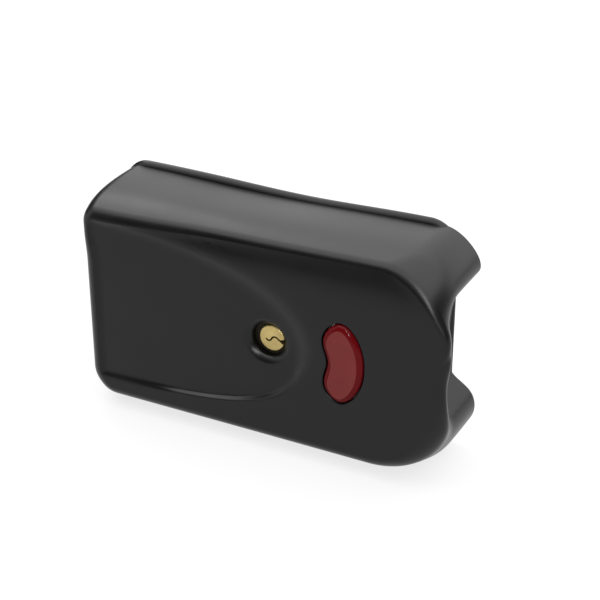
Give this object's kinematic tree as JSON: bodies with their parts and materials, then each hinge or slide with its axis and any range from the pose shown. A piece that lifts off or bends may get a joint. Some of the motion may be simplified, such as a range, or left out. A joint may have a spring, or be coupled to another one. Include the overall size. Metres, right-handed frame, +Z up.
{
  "type": "electromechanical door lock",
  "caption": "Surface-mounted electric gate lock in a black cover with a brass key plug, a red kidney-shaped release button and a rotary claw in the end recess.",
  "frame": {"origin": "centre of the four mounting holes, on the mounting face", "axes": "X along the lock to the latch end, -Y out of the cover's front towards the room, +Y into the gate, Z up; the long side lies level, as pictured"},
  "size_m": [0.1704, 0.0443, 0.0998],
  "materials": {
    "black_moulding": "satin moulded black",
    "zinc_plate": "bright zinc plated sheet",
    "black_screw": "black oxide",
    "brass_insert": "turned",
    "steel": "turned",
    "black_rubber": "moulded",
    "sintered_steel": "sintered and hardened",
    "bronze": "sintered bronze",
    "spring_steel": "drawn wire",
    "red_gloss": "red, glossy bevel",
    "black_nylon": "moulded",
    "coil_tape": "yellow winding tape",
    "nickel_steel": "nickel plated",
    "brass": "turned",
    "brass_plug": "turned and worn",
    "grey_nylon": "moulded"
  },
  "bodies": {
    "lock_case": {"cover": "black_moulding", "back_plate": "zinc_plate", "cover_screws": "black_screw", "threaded_inserts": "brass_insert", "upper_case_plate": "zinc_plate", "lower_case_plate": "zinc_plate", "case_rivets": "steel", "case_posts": "steel", "stop_buffer": "black_rubber", "claw_pin": "steel", "claw_washers": "bronze", "claw_spring": "spring_steel", "spindle_bushes": "bronze", "button_springs": "spring_steel", "solenoid_yoke": "zinc_plate", "solenoid_bobbin": "black_nylon", "solenoid_coil": "coil_tape", "solenoid_core": "steel", "plunger_spring": "spring_steel", "cylinder_body": "brass", "cylinder_carrier": "zinc_plate", "carrier_screws": "steel", "terminal_block": "grey_nylon", "terminal_screws": "steel", "cable_grommet": "black_rubber"},
    "claw": {"claw": "sintered_steel", "claw_bush": "bronze"},
    "pawl": {"pawl": "sintered_steel", "pawl_spindle": "steel", "button_lever": "zinc_plate", "lever_sleeve": "steel", "solenoid_lever": "zinc_plate", "spindle_clip": "spring_steel", "pawl_spring": "spring_steel"},
    "button": {"button_cap": "red_gloss", "button_carrier": "black_nylon"},
    "plunger": {"plunger": "nickel_steel", "plunger_clevis": "zinc_plate", "clevis_pin": "steel", "key_release_bar": "zinc_plate"},
    "key_plug": {"key_plug": "brass_plug", "cylinder_cam": "zinc_plate", "cam_clip": "spring_steel"}
  },
  "joints": [
    {"name": "claw_turn", "type": "hinge", "parent": "lock_case", "child": "claw", "pos_m": [0.0562, -0.023, 0], "axis": [0, 0, -1], "range_deg": [0, 50], "stiffness_Nm_per_rad": 0.01, "deforming": ["claw_spring"]},
    {"name": "button_push", "type": "slide", "parent": "lock_case", "child": "button", "axis": [0, 1, 0], "range_m": [0, 0.004], "stiffness_N_per_m": 600, "springref_m": -0.002, "deforming": ["button_springs"]},
    {"name": "pawl_turn", "type": "hinge", "parent": "lock_case", "child": "pawl", "pos_m": [0.033, -0.0305, 0], "axis": [0, 0, 1], "range_deg": [0, 14], "deforming": ["pawl_spring"]},
    {"name": "plunger_slide", "type": "slide", "parent": "lock_case", "child": "plunger", "axis": [-1, 0, 0], "range_m": [0, 0.0035], "deforming": ["plunger_spring"]},
    {"name": "key_turn", "type": "hinge", "parent": "lock_case", "child": "key_plug", "pos_m": [0.0048, -0.025, 0.0008], "axis": [0, -1, 0], "range_deg": [-60, 60]}
  ],
  "couplings": [
    {"joint": "pawl_turn", "follows": "button_push", "rad_per_m": 61.05},
    {"joint": "plunger_slide", "follows": "button_push", "ratio": 0.87}
  ]
}
